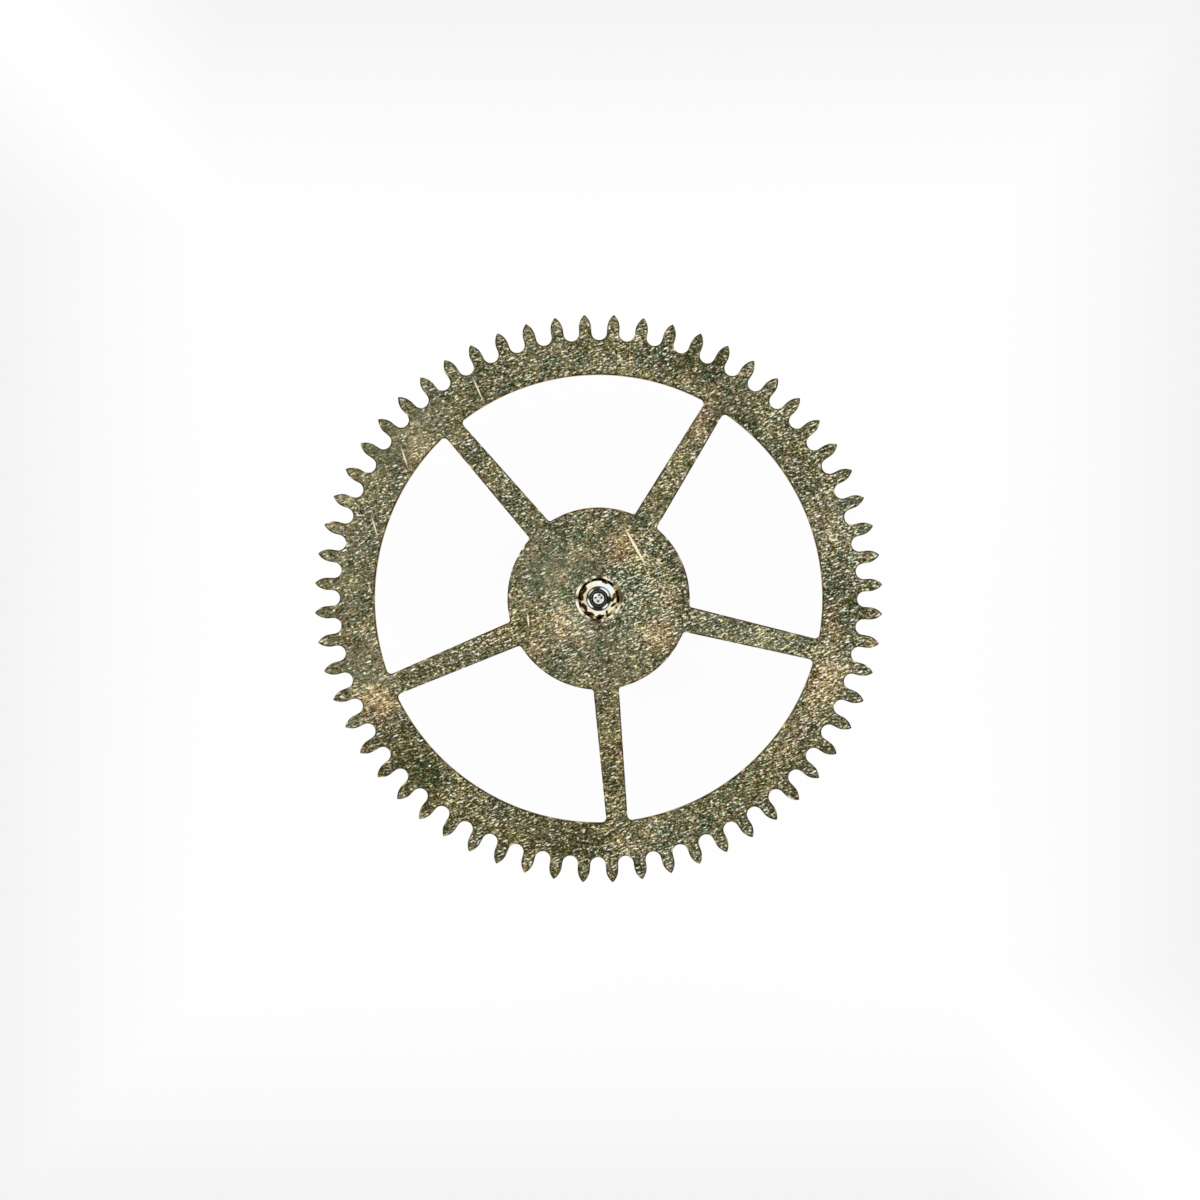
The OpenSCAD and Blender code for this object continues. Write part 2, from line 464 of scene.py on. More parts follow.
def dome(base_z, towards):
    """A pivot's end as (radius, height) steps, from its wall to just before the axis."""
    low = math.degrees(math.asin(math.sqrt(1 - (PIVOT_R / DOME_R) ** 2)))
    centre_z = base_z + towards * (PIVOT_L - DOME_R)
    steps = []
    for i in range(1, DOME_STEPS):
        angle = math.radians(low + (90 - low) * i / DOME_STEPS)
        steps.append((DOME_R * math.cos(angle), centre_z + towards * DOME_R * math.sin(angle)))
    return steps


def pivot_root(base_z, towards):
    """The hollow corner between a pivot and its shoulder, from the shoulder to the pivot."""
    centre = complex(PIVOT_R + PIVOT_CORNER_R, PIVOT_CORNER_R)
    steps = arc(centre, PIVOT_CORNER_R, 270, 180, ROOT_STEPS)
    return [(p.real, base_z + towards * p.imag) for p in steps]


def pivot(base_z, towards):
    """A pivot as (radius, height) steps, from the end of its root to just before its tip."""
    rise = DOME_R - math.sqrt(DOME_R**2 - PIVOT_R**2)
    wall_end = PIVOT_L - rise
    return [
        pivot_root(base_z, towards)[-1],
        (PIVOT_R, base_z + towards * (wall_end - EASE)),
        (PIVOT_R - TIP_EASE, base_z + towards * (wall_end + TIP_EASE)),
        *dome(base_z, towards),
    ]


print(f"Rings on a pivot: {len(pivot(0, -1))}, on its root: {len(pivot_root(0, -1))}")

# %% [markdown]
# The rivet's head is a rounded crest with a hollow inside, left by the staking punch. Between a
# turned ring and a flat one lies the superellipse, an oval that one power makes boxier. It gives
# the pressed crest a nearly flat top with soft shoulders.

# %% Profile of the rivet
CREST_STEPS = 22
HOLLOW_EASE = 0.001


def crest():
    """The rivet's crest, from outside to inside: an oval that the punch has pressed flat."""
    middle = (RIVET_R + HOLLOW_R) / 2
    half = (RIVET_R - HOLLOW_R) / 2
    rise = CREST_Z - CREST_FOOT_Z
    profile = []
    for i in range(CREST_STEPS + 1):
        way = turn(180 * i / CREST_STEPS)
        across = math.copysign(abs(way.real) ** (2 / PRESSED), way.real)
        profile.append((middle + half * across, CREST_FOOT_Z + rise * way.imag ** (2 / PRESSED)))
    return profile


rivet_profile = [(SEAT_R, SINK_FLOOR_Z), (RIVET_R, SINK_FLOOR_Z), *crest()]
hollow_profile = [
    (HOLLOW_R, CREST_FOOT_Z),
    (HOLLOW_R - HOLLOW_EASE, HOLLOW_Z - HOLLOW_EASE),
    (UPPER_ARBOR_R, HOLLOW_Z),
]
print(f"The rivet's crest stands {CREST_Z - FACE_Z:.3f} mm above the plate")

# %% Turn a profile
STEEL, RIVET, PIVOT, BLACK, HOLLOW = 0, 1, 2, 3, 4


def turned(stack, profile, finish):
    """Rings for a profile, joined with bands. Gives the first and last ring."""
    rings = [stack.outline(ring(r), z) for r, z in profile]
    stack.bands(rings, finish)
    return rings[0], rings[-1]


print("Points on each ring:", RING_POINTS)

# %% Arbor below the plate
arbor_stack = Stack()
lower = [(LOWER_ARBOR_R, PINION_Z), (LOWER_ARBOR_R, EASE), (LOWER_ARBOR_R - EASE, 0)]
arbor_foot, _ = turned(arbor_stack, lower + pivot_root(0, -1), STEEL)
_, lower_tip = turned(arbor_stack, pivot(0, -1), PIVOT)
arbor_stack.tip(lower_tip, -PIVOT_L, PIVOT)

leaves = pinion_outline()
bevel_top = [PINION_Z + max(0, abs(p) - LEAF_BEVEL_R) for p in leaves]
bevel_foot = [p * min(1, LEAF_BEVEL_R / abs(p)) for p in leaves]
leaf_foot = arbor_stack.outline(bevel_foot, PINION_Z)
leaf_edge = arbor_stack.outline(leaves, PINION_Z)
for number, z in zip(leaf_edge, bevel_top):
    x, y, _ = arbor_stack.points[number]
    arbor_stack.points[number] = (x, y, z * MM)
leaf_head = arbor_stack.outline(leaves, SEAT_Z)
neck_foot = arbor_stack.outline(ring(SEAT_R), SEAT_Z)
arbor_stack.flat([leaf_foot, arbor_foot], STEEL)
arbor_stack.bands([leaf_foot, leaf_edge, leaf_head], STEEL)
arbor_stack.flat([leaf_head, neck_foot], STEEL)
print("Points below the plate:", len(arbor_stack.points))

# %% Rivet and upper arbor
SHOULDER_EASE = 0.005

neck_head = arbor_stack.outline(ring(SEAT_R), SINK_FLOOR_Z)
arbor_stack.band(neck_foot, neck_head, STEEL)
turned(arbor_stack, rivet_profile, RIVET)
turned(arbor_stack, hollow_profile, HOLLOW)
shoulder = [
    (UPPER_SHOULDER_R, UPPER_SHOULDER_Z - SHOULDER_EASE),
    (UPPER_SHOULDER_R - SHOULDER_EASE, UPPER_SHOULDER_Z),
]
turned(arbor_stack, [(UPPER_ARBOR_R, HOLLOW_Z), shoulder[0]], BLACK)
turned(arbor_stack, shoulder, STEEL)
turned(arbor_stack, [shoulder[1], *pivot_root(UPPER_SHOULDER_Z, 1)], BLACK)
_, upper_tip = turned(arbor_stack, pivot(UPPER_SHOULDER_Z, 1), PIVOT)
arbor_stack.tip(upper_tip, UPPER_SHOULDER_Z + PIVOT_L, PIVOT)
arbor = make_piece(arbor_stack, "steel_pinion_arbor", "pinion_arbor")

# %% [markdown]
# ## Colours and nodes
#
# Colours are picked on a screen, so they are written as sRGB hex values, and one function turns
# them to the linear values that the shader counts with. A second one adds a node with its
# settings, a ramp's colours and links, so each material below reads as a list of what lies over
# what. Node by node is longer than an image texture would be, but it stays sharp in any view.

# %% Helpers for materials
def linear(hex_colour):
    """An sRGB hex colour as linear red, green, blue and alpha, by the sRGB standard's curve."""
    channels = [int(hex_colour[i : i + 2], 16) / 255 for i in (1, 3, 5)]
    bent = [c / 12.92 if c <= 0.04045 else ((c + 0.055) / 1.055) ** 2.4 for c in channels]
    return (*bent, 1.0)


def add(tree, kind, settings=None, stops=(), **inputs):
    """Adds a node. Settings are its own fields, stops a ramp's (position, hex colour).

    Inputs are values, or sockets to link from, by the socket's name or by _ and its number.
    """
    node = tree.nodes.new("ShaderNode" + kind)
    for field, value in (settings or {}).items():
        setattr(node, field, value)
    for _ in stops[2:]:
        node.color_ramp.elements.new(1.0)
    for i, (position, hex_colour) in enumerate(stops):
        node.color_ramp.elements[i].position = position
        node.color_ramp.elements[i].color = linear(hex_colour)
    for name, value in inputs.items():
        key = int(name[1:]) if name[1:].isdigit() else name.replace("_", " ")
        socket = node.inputs[key]
        if isinstance(value, bpy.types.NodeSocket):
            tree.links.new(value, socket)
        else:
            socket.default_value = value
    return node


def new_material(name):
    """An empty node material, its tree and its coordinates in millimetres."""
    material = bpy.data.materials.new(name)
    material.use_nodes = True
    tree = material.node_tree
    tree.nodes.clear()
    place = add(tree, "TexCoord")
    millimetres = add(tree, "Mapping", Vector=place.outputs["Object"], Scale=[1 / MM] * 3)
    return material, tree, millimetres.outputs["Vector"]


print("Cream #f5efd3 in linear light:", [round(c, 3) for c in linear("#f5efd3")])

# %% [markdown]
# ## Noise in layers
#
# No surface varies at one size alone. Fine grain, stains and wide clouds are layers of noise, each
# with its own size, and where the metal was rubbed, drawn out along the strokes. One noise with
# high detail would be quicker, but its sizes and shares couldn't be matched one by one.

# %% Layers of noise
NOISE_MEAN = 0.5


def stretched(tree, at, stretch, slant):
    """The coordinates drawn out by this factor along a slant in degrees from +X."""
    return add(
        tree,
        "Mapping",
        {"vector_type": "TEXTURE"},
        Vector=at,
        Rotation=(0, 0, math.radians(slant)),
        Scale=(stretch, 1, 1),
    ).outputs["Vector"]


def layered(tree, at, middle, layers):
    """A value that sways round its middle, from (size in mm, stretch, slant, share, detail)."""
    value = middle - NOISE_MEAN * sum(layer[3] for layer in layers)
    for size, stretch, slant, share, detail in layers:
        layer_at = stretched(tree, at, stretch, slant)
        noise = add(tree, "TexNoise", Vector=layer_at, Scale=1 / size, Detail=detail)
        value = add(
            tree, "Math", {"operation": "MULTIPLY_ADD"}, _0=noise.outputs[0], _1=share, _2=value
        ).outputs["Value"]
    return value


print("Each layer of noise sways round", NOISE_MEAN)

# %% [markdown]
# ## Marks with a place
#
# Noise makes a surface alive, but a rubbed patch or a scratch has its own place. A spherical
# gradient in a shifted, turned and squeezed space is such a mark: it is 1 in its middle and fades
# to 0 at its edge. One helper makes a mark, and another adds a whole list of them to a value.

# %% One mark, and many
MARK_DEPTH = FACE_Z - SEAT_Z


def mark(tree, at, place, size, slant=0.0, height_z=FACE_Z):
    """A soft oval of these half sizes in millimetres, too shallow to show on the other face."""
    oval = add(
        tree,
        "Mapping",
        {"vector_type": "TEXTURE"},
        Vector=at,
        Location=(*place, height_z),
        Rotation=(0, 0, math.radians(slant)),
        Scale=(*size, MARK_DEPTH),
    )
    gradient = add(
        tree, "TexGradient", {"gradient_type": "SPHERICAL"}, Vector=oval.outputs["Vector"]
    )
    return gradient.outputs["Fac"]


def add_marks(tree, at, value, marks, height_z=FACE_Z):
    """Adds marks of (x, y, half length, half width, slant, strength) to a value."""
    for x, y, half_length, half_width, slant, strength in marks:
        oval = mark(tree, at, (x, y), (half_length, half_width), slant, height_z)
        value = add(
            tree, "Math", {"operation": "MULTIPLY_ADD"}, _0=oval, _1=strength, _2=value
        ).outputs["Value"]
    return value


print(f"A mark reaches {MARK_DEPTH:.2f} mm deep, as far as the plate's lower face.")

# %% [markdown]
# ## Grained, tarnished brass
#
# The plate was grained on a stone and then sat in old oil and air for decades. Seen close, it is a
# weave of fine grain and longer dashes that all slant the same way, because the plate was rubbed in
# one direction. Tops of the grain are still bright brass, and the brightest, nearly white tops are
# painted glints. The hollows hold olive and grey-green tarnish. The grain is 0.02 mm apart. A dash
# is little wider and three to five times as long, and wider clouds lie over both. An anisotropic
# shader would give the sheen of brushed metal and none of the dashes, so the grain is drawn as a
# height, and colour, gloss and relief all follow that height. Brass is a metal, so metallic is 1 and
# the IOR stays as it is. Tarnish makes it dull, so its roughness is high, and less on the bright
# tops.

# %% Brass: height of the grain
GRAIN_LAYERS = [
    # size in mm, stretch, slant, share, detail
    (0.020, 1.2, 20, 0.62, 0.0),
]
CLOUD_LAYERS = [
    (0.30, 1.0, 0, 0.105, 2.0),
    (1.30, 1.0, 0, 0.205, 1.0),
]
STROKES = [
    # width in mm, stretch, slant, share, and where a stroke starts and is full in the noise
    (0.022, 3.0, 20, 0.19, 0.54, 0.70),
    (0.024, 5.0, 23, 0.15, 0.60, 0.74),
]
# What the strokes add on average, taken off again so that the grain sways round 0.
STROKES_MEAN = 0.05

brass, tree, at = new_material("grained tarnished brass")
grain = layered(tree, at, -STROKES_MEAN, GRAIN_LAYERS)
for width, stretch, slant, share, start, full in STROKES:
    stroke_at = stretched(tree, at, stretch, slant)
    noise = add(tree, "TexNoise", Vector=stroke_at, Scale=1 / width, Detail=0.0)
    stroke = add(
        tree,
        "MapRange",
        {"interpolation_type": "SMOOTHSTEP"},
        Value=noise.outputs[0],
        From_Min=start,
        From_Max=full,
        To_Max=share,
    )
    grain = add(
        tree, "Math", {"operation": "ADD"}, _0=stroke.outputs["Result"], _1=grain
    ).outputs["Value"]
print("Grains to the millimetre:", [round(1 / layer[0]) for layer in GRAIN_LAYERS])

# %% [markdown]
# The stone bit harder in some places than in others. The grain is bold on the rim's right and
# lower parts and beside the hub's scratch. It is calm on the rim's left and on most of the hub,
# where later handling wore it down.

# %% Brass: bold and calm grain
BOLD_LAYERS = [(0.80, 1.0, 0, 0.6, 1.0)]
MEAN_HEIGHT = 0.503
BOLD_PLACES = [
    # x, y, half length, half width, slant, strength
    (-3.60, 0.80, 3.20, 1.60, 80, -0.30),
    (-2.50, 2.50, 1.50, 0.90, 45, -0.35),
    (-3.35, -0.95, 1.00, 0.80, 106, -0.25),
    (3.40, 0.40, 3.20, 1.40, 95, 0.12),
    (0.00, -3.60, 2.40, 1.00, 0, 0.18),
    (0.70, 0.55, 0.70, 0.60, 40, 0.35),
    (-0.60, 0.40, 0.80, 0.70, -60, -0.40),
    (0.00, -0.70, 1.20, 0.70, 0, -0.20),
]
boldness = add_marks(tree, at, layered(tree, at, 1.0, BOLD_LAYERS), BOLD_PLACES)
clouds = layered(tree, at, MEAN_HEIGHT + STROKES_MEAN, CLOUD_LAYERS)
height = add(
    tree, "Math", {"operation": "MULTIPLY_ADD"}, _0=grain, _1=boldness, _2=clouds
).outputs["Value"]
print("Places of bold or calm grain:", len(BOLD_PLACES))

# %% [markdown]
# The tarnish isn't even. Rubbed places have gone warm and tan and are lighter, others keep a cool
# green-grey film. The height of the grain also sets how light the brass is, so broad and weak marks
# on the height are lighter and darker shades. Both kinds of places are listed, and noise breaks up
# the warm ones.

# %% Brass: warm and cool places
WARM_PLACES = [
    # x, y, half length, half width, slant, strength
    (-3.08, -1.46, 0.42, 0.36, 60, 1.01),
    (3.14, -1.15, 0.46, 0.36, 70, 0.94),
    (0.30, 0.77, 0.40, 0.26, 70, 1.01),
    (0.86, -0.52, 0.34, 0.30, 0, 1.01),
    (-0.57, -0.32, 0.36, 0.24, -40, 0.61),
    (-0.12, 0.58, 0.50, 0.30, 0, 0.28),
    (-2.45, -2.40, 0.60, 0.50, -50, -0.35),
    (-0.30, -0.52, 0.36, 0.30, 30, 0.40),
    (-0.85, -0.62, 0.45, 0.25, -25, 0.41),
    (1.38, 2.45, 0.70, 0.26, 59, 0.61),
    (3.20, -0.40, 0.40, 0.34, 90, 0.54),
    (3.80, -0.45, 0.40, 0.20, 90, 0.47),
    (1.00, 0.05, 0.30, 0.24, 90, 0.47),
    (-2.45, 1.95, 0.40, 0.28, 50, 0.41),
    (0.20, -1.13, 0.50, 0.20, 0, 0.27),
    (2.70, -1.80, 0.70, 0.24, 60, 0.34),
    (3.15, 1.05, 0.40, 0.26, -70, 0.34),
    (-3.15, -0.42, 0.45, 0.22, 90, 0.34),
    (0.351, 1.088, 0.05, 0.035, 20, 1.62),
]
print("Warm or cool places:", len(WARM_PLACES))

# %% Brass: light and dark places
SHADES = [
    # x, y, half length, half width, slant, strength
    (0.00, 0.00, 1.45, 1.45, 0, 0.085),
    (1.10, 0.55, 0.25, 0.40, 30, -0.035),
    (-1.00, -0.30, 0.45, 0.50, 0, -0.090),
    (-0.36, -0.40, 0.40, 0.35, 45, 0.045),
    (0.30, 0.60, 0.50, 0.35, 0, -0.030),
    (1.15, 0.00, 0.35, 0.40, 0, -0.040),
    (0.88, 1.45, 0.45, 0.35, 59, -0.060),
    (1.35, 2.20, 0.50, 0.35, 59, 0.055),
    (0.20, -2.25, 1.30, 0.50, 95, -0.080),
    (2.10, -0.50, 1.30, 0.45, -13, 0.070),
    (3.40, -0.90, 1.00, 0.60, 75, 0.050),
    (3.40, 0.90, 1.10, 0.70, 105, 0.060),
    (1.30, 3.30, 0.55, 0.30, -20, -0.040),
    (1.10, 3.05, 0.55, 0.35, -20, -0.025),
    (0.00, 3.60, 0.70, 0.30, 0, -0.045),
    (-1.60, 3.27, 0.40, 0.25, 25, -0.035),
    (-2.55, 2.20, 0.90, 0.60, 50, 0.040),
    (-3.44, 1.78, 0.35, 0.25, 60, -0.050),
    (-3.50, 0.70, 1.00, 0.60, 100, 0.050),
    (-2.50, -2.50, 1.30, 0.70, -45, -0.085),
    (-2.50, -2.25, 0.70, 0.50, -50, -0.060),
    (-3.25, -1.20, 0.50, 0.40, 110, 0.055),
    (-1.10, -3.35, 0.50, 0.30, -20, -0.035),
    (-0.90, -3.40, 1.20, 0.70, -15, -0.035),
    (-0.40, -3.50, 0.80, 0.50, 0, -0.065),
    (0.05, -3.20, 0.60, 0.30, 0, -0.040),
    (2.10, -2.50, 0.60, 0.35, 40, -0.040),
    (2.50, -2.50, 1.20, 0.70, 45, -0.035),
]
print("Light or dark places:", len(SHADES))

# %% Brass: warmth and shade together
WARMTH = 0.38
WARM_LAYERS = [
    (0.06, 1.0, 0, 0.9, 0.0),
    (0.16, 1.0, 0, 0.6, 1.0),
    (0.30, 1.0, 0, 0.7, 2.0),
    (1.30, 1.0, 0, 0.5, 1.0),
]
HEIGHT_OF_RUBBED = 0.03
rubbed = add_marks(tree, at, 0.0, WARM_PLACES)
warmth = layered(tree, at, WARMTH, WARM_LAYERS)
warmth = add(tree, "Math", {"operation": "ADD"}, _0=warmth, _1=rubbed).outputs["Value"]
height = add_marks(tree, at, height, SHADES)
height = add(
    tree, "Math", {"operation": "MULTIPLY_ADD"}, _0=rubbed, _1=HEIGHT_OF_RUBBED, _2=height
).outputs["Value"]
print(f"The tarnish is {WARMTH:.0%} warm on average, and more in the rubbed places.")

# %% [markdown]
# The two films are two rows of colours from the darkest hollow to the brightest top, at the same
# levels of the height. Warmth mixes between them. Brass shows yellower where the film is thin, so
# a tint that only takes away blue lies over both.

# %% Brass: colour by height and warmth
# The last colour of each row, nearly white, is a painted glint on the grain's tops.
LEVELS = (0.421, 0.488, 0.560, 0.604, 0.651, 0.709, 0.745, 0.764)
COOL = ("#2a3015", "#454f38", "#535e49", "#5f6b59", "#707c6b", "#899584", "#aab6a4", "#dfe8da")
WARM = ("#503e27", "#7b6953", "#92806c", "#a3907f", "#b7a392", "#d3bdad", "#eed9ce", "#fff4ec")

cool_stops = list(zip(LEVELS, COOL))
warm_stops = list(zip(LEVELS, WARM))
cool_colour = add(tree, "ValToRGB", stops=cool_stops, Fac=height).outputs["Color"]
warm_colour = add(tree, "ValToRGB", stops=warm_stops, Fac=height).outputs["Color"]
tarnish = add(
    tree,
    "Mix",
    {"data_type": "RGBA"},
    _0=warmth,
    _6=cool_colour,
    _7=warm_colour,
).outputs[2]
print("Tones of tarnish, cool and warm:", len(COOL), len(WARM))

# %% Brass: yellow tint
YELLOW_LAYERS = [
    (0.07, 1.0, 0, 0.75, 0.0),
    (0.30, 1.0, 0, 0.70, 2.0),
    (1.30, 1.0, 0, 0.40, 1.0),
]
YELLOWNESS = 0.46
YELLOW_OF_RUBBED = 0.25
YELLOW_STOPS = [(0.25, "#ffffff"), (0.75, "#ffffcd")]
yellowness = add(
    tree,
    "Math",
    {"operation": "MULTIPLY_ADD"},
    _0=rubbed,
    _1=YELLOW_OF_RUBBED,
    _2=layered(tree, at, YELLOWNESS, YELLOW_LAYERS),
).outputs["Value"]
yellow = add(tree, "ValToRGB", stops=YELLOW_STOPS, Fac=yellowness).outputs["Color"]
toned = add(
    tree, "Mix", {"data_type": "RGBA", "blend_type": "MULTIPLY"}, _0=1.0, _6=tarnish, _7=yellow
).outputs[2]
print("Sizes of yellow patches in mm:", [layer[0] for layer in YELLOW_LAYERS])

# %% [markdown]
# Here and there a top of the grain shows a painted glint, a nearly white short dash or dot, and
# painted shade darkens the tarnish right around it. Each cell of a Voronoi texture has one such
# flake in its middle, and the cell's own random colour says whether it is there.

# %% Brass: flakes of painted glint and shade
GLINT_FLAKES = [
    # gap in mm, half width in mm, stretch, slant, share of cells without one
    (0.085, 0.012, 3.2, 22, 0.72),
    (0.110, 0.013, 1.4, 35, 0.72),
]
FLAKE_FADE = 0.15
# Each flake is a ring of painted shade round a painted glint.
GLINT_AND_SHADE_PARTS = [
    # far and near edge in half widths, how much it covers, colour
    (2.4, 1.2, 0.35, "#2e2b1b"),
    (1.2, 0.7, 1.0, "#fffdf2"),
]

glinted_colour = toned
for gap, half_width, stretch, slant, bare in GLINT_FLAKES:
    flake_at = stretched(tree, at, stretch, slant)
    cells = add(tree, "TexVoronoi", Vector=flake_at, Scale=1 / gap)
    pick = add(tree, "SeparateXYZ", Vector=cells.outputs["Color"]).outputs["X"]
    there = add(
        tree, "MapRange", Value=pick, From_Min=bare, From_Max=bare + FLAKE_FADE
    ).outputs["Result"]
    reach = half_width / gap
    for far, near, most, colour in GLINT_AND_SHADE_PARTS:
        spot = add(
            tree,
            "MapRange",
            Value=cells.outputs["Distance"],
            From_Min=far * reach,
            From_Max=near * reach,
            To_Max=most,
        ).outputs["Result"]
        share = add(
            tree, "Math", {"operation": "MULTIPLY"}, _0=spot, _1=there
        ).outputs["Value"]
        glinted_colour = add(
            tree, "Mix", {"data_type": "RGBA"}, _0=share, _6=glinted_colour, _7=linear(colour)
        ).outputs[2]
print("Cells with a flake:", [f"{1 - flake[4]:.0%}" for flake in GLINT_FLAKES])

# %% [markdown]
# A few scratches cross the plate, one of them bright gold beside the hub's first arm. A scratch
# is fresh metal, so it is a thin mark of a brighter colour.

# %% Brass: scratches
SCRATCHES = [
    # x, y, half length, half width, slant, strength
    (0.510, 0.714, 0.330, 0.020, -61, 3.0),
    (-1.669, 2.893, 0.230, 0.014, -66, 1.3),
    (-2.690, 1.966, 0.190, 0.014, -72, 1.3),
    (-3.100, 0.998, 0.200, 0.014, -74, 1.3),
    (-0.975, -0.300, 0.110, 0.014, -84, 2.0),
]
scratch = add_marks(tree, at, 0.0, SCRATCHES)
plate_colour = add(
    tree,
    "Mix",
    {"data_type": "RGBA"},
    _0=scratch,
    _6=glinted_colour,
    _7=linear("#fbeccb"),
).outputs[2]
print("Scratches:", len(SCRATCHES))

# %% [markdown]
# At the very edge, the edge break is coloured in spots by noise, from a dark line to bright gold,
# and the bright gold spots are painted glints on the burr. Each point of the mesh knows how worn it
# is, which is surer than guessing the edges from the mesh's curvature. Copper brown patches come
# with the wear, most of all on the inner edge of the rim.

# %% Brass: edges
EDGE_SPOT = 0.09
# Stops from a dark line on the edge break to painted glints of bright gold.
EDGE_LINE_AND_GLINT_STOPS = [
    (0.40, "#332e20"),
    (0.52, "#5c543d"),
    (0.60, "#8c8361"),
    (0.66, "#bab087"),
    (0.72, "#eae2bd"),
]
wear = add(tree, "Attribute", {"attribute_name": "edge_wear"}).outputs["Fac"]
edge = add(
    tree, "MapRange", {"interpolation_type": "SMOOTHSTEP"}, Value=wear, From_Min=0.25, From_Max=0.8
).outputs["Result"]
edge_spots = add(tree, "TexNoise", Vector=at, Scale=1 / EDGE_SPOT, Detail=2.0).outputs["Fac"]
edge_line_and_glints = add(tree, "ValToRGB", stops=EDGE_LINE_AND_GLINT_STOPS, Fac=edge_spots).outputs["Color"]
print(f"Wear fades out {WEAR_W} mm from an edge, in spots of {EDGE_SPOT} mm.")

# %% Brass: copper in the edges
COPPER_PATCH = 0.7
COPPER_AT_RIM = 0.14
COPPER_STOPS = [(0.46, "#ffffff"), (0.66, "#f6cfbf")]
flat_at = add(tree, "Mapping", Vector=at, Scale=(1, 1, 0)).outputs["Vector"]
from_axis = add(tree, "VectorMath", {"operation": "LENGTH"}, Vector=flat_at).outputs["Value"]
at_rim = add(
    tree, "Math", {"operation": "COMPARE"}, _0=from_axis, _1=WINDOW_R, _2=2 * WEAR_W
).outputs["Value"]
copper_places = add(tree, "TexNoise", Vector=at, Scale=1 / COPPER_PATCH, Detail=1.0).outputs["Fac"]
copper_share = add(
    tree, "Math", {"operation": "MULTIPLY_ADD"}, _0=at_rim, _1=COPPER_AT_RIM, _2=copper_places
).outputs["Value"]
copper_tint = add(tree, "ValToRGB", stops=COPPER_STOPS, Fac=copper_share).outputs["Color"]
edge_tone = add(
    tree,
    "Mix",
    {"data_type": "RGBA", "blend_type": "MULTIPLY"},
    _0=1.0,
    _6=edge_line_and_glints,
    _7=copper_tint,
).outputs[2]
worn = add(
    tree, "Mix", {"data_type": "RGBA"}, _0=edge, _6=plate_colour, _7=edge_tone
).outputs[2]
print(f"More copper within {2 * WEAR_W} mm of radius {WINDOW_R:.2f} mm")

# %% Brass: surface
GRAIN_DEPTH = 0.005
DULL, BRIGHT = 0.58, 0.36
relief = add(tree, "Bump", Height=height, Strength=0.6, Distance=GRAIN_DEPTH * MM)
gloss = add(
    tree, "MapRange", Value=height, From_Min=0.35, From_Max=0.7, To_Min=DULL, To_Max=BRIGHT
).outputs["Result"]
brass_surface = add(
    tree,
    "BsdfPrincipled",
    Base_Color=worn,
    Metallic=1.0,
    Roughness=gloss,
    Normal=relief.outputs["Normal"],
)
add(tree, "OutputMaterial", Surface=brass_surface.outputs["BSDF"])
wheel.data.materials.append(brass)
print("Brass done:", len(tree.nodes), "nodes")

# %% [markdown]
# ## The sink around the rivet
#
# The sink and its land were cut with a sharp tool after graining. The land is bright brass, a thin
# cream ring seen from above; its bright stretches are painted highlights, and darker stretches break
# the ring up. The narrow groove between the ring and the rivet is dark with dried oil and painted
# shade. Stains, painted highlights and a painted sheen on a turned part are best described by their
# heading round the axis, so a helper gives colours by their heading.

# %% Colours round the axis
def around(tree, at, colours):
    """Colours by heading, from a list of (degrees from +X, -180 to 180; hex colour)."""
    # A radial gradient goes from 0 to 1 over one turn, and is 0.5 on +X.
    angle = add(tree, "TexGradient", {"gradient_type": "RADIAL"}, Vector=at).outputs["Fac"]
    stops = [(degrees / 360 + 0.5, hex_colour) for degrees, hex_colour in colours]
    return add(tree, "ValToRGB", stops=stops, Fac=angle).outputs["Color"]


print("On a ramp round the axis, +Y lies at", 90 / 360 + 0.5)

# %% [markdown]
# The tool's lines on the land are 0.008 mm apart. Coarser ones would show in the whole view, but
# the land is too narrow to hold them. So they keep their real size: close up they tell turned
# brass from cast, and from afar they only soften the shine. Where oil lies, the land is duller.

# %% Land: painted highlights and dark stretches
# Colours by heading: the nearly white ones are painted highlights on the cut land.
LAND_HIGHLIGHTS_AND_DARK_STRETCHES = [
    # degrees from +X, colour
    (-180, "#6f6040"),
    (-172, "#fffdf0"),
    (-135, "#fff8e2"),
    (-130, "#5c4c2c"),
    (-123, "#fff6da"),
    (-108, "#3f3320"),
    (-86, "#4a3c24"),
    (-80, "#fff9e4"),
    (-74, "#5a4a2a"),
    (-68, "#fff8dc"),
    (-51, "#fff1c8"),
    (-44, "#4b3d22"),
    (-38, "#fffbe6"),
    (-18, "#e3d5a8"),
    (-8, "#54482d"),
    (24, "#6b5d3a"),
    (36, "#b9a778"),
    (45, "#3a3120"),
    (56, "#fffbe6"),
    (72, "#fff3cc"),
    (82, "#4f4326"),
    (94, "#5c4e2e"),
    (102, "#fff9e0"),
    (112, "#3f3520"),
    (124, "#fff8dc"),
    (134, "#5a4c2c"),
    (149, "#fffbe6"),
    (165, "#fff3cf"),
    (176, "#4f4226"),
]
print("Stains and bright stretches round the land:", len(LAND_HIGHLIGHTS_AND_DARK_STRETCHES))

# %% Land: cut brass
CUT_LINE = 0.008
CUT_LINE_DEPTH = 0.0004
OIL_SPECK = 0.05
